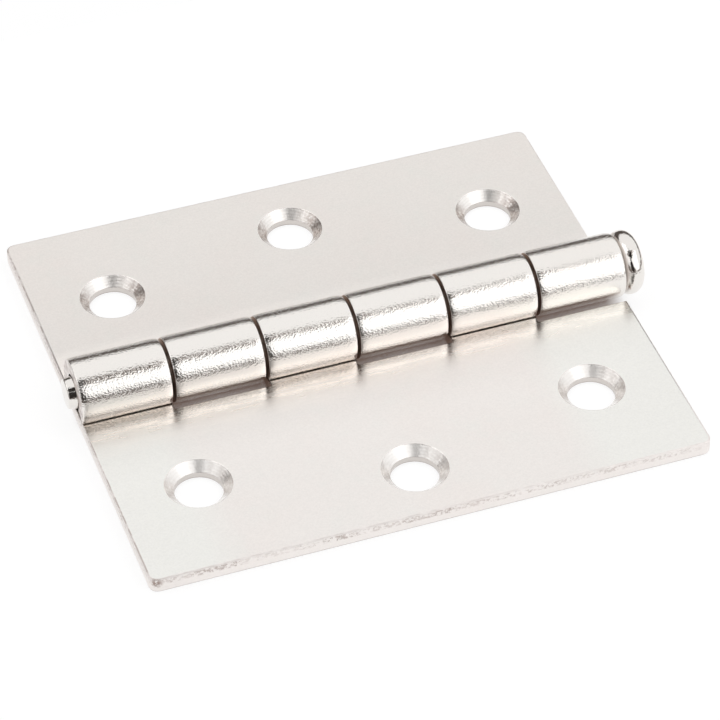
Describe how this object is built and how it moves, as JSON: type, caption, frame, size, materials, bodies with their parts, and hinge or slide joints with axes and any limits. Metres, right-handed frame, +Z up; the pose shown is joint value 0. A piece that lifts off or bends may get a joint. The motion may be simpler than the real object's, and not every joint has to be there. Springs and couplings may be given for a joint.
{
  "type": "butt hinge",
  "caption": "Pressed steel butt hinge: flat leaves with countersunk screw holes, rolled knuckles and a loose pin with a button head.",
  "frame": {"origin": "bottom centre of the whole part's box, with the hinge open flat on its leaves' backs and the pin seated", "axes": "+X along the pin towards its head, +Y towards the rear leaf, +Z up, out of the countersunk faces"},
  "size_m": [0.0796, 0.067, 0.0089],
  "materials": {
    "leaf_plating": "bright nickel plating over pressed steel, satin on the flats and shiny on the knuckles",
    "pin_plating": "bright nickel plating over a turned steel pin"
  },
  "bodies": {
    "rear_leaf": {"rear_leaf": "leaf_plating"},
    "front_leaf": {"front_leaf": "leaf_plating"},
    "hinge_pin": {"hinge_pin": "pin_plating"}
  },
  "joints": [
    {"name": "leaf_swing", "type": "hinge", "parent": "rear_leaf", "child": "front_leaf", "pos_m": [0, 0, 0.00443], "axis": [-1, 0, 0], "range_deg": [-90, 180]},
    {"name": "pin_draw", "type": "slide", "parent": "rear_leaf", "child": "hinge_pin", "axis": [1, 0, 0], "range_m": [0, 0.07]}
  ]
}
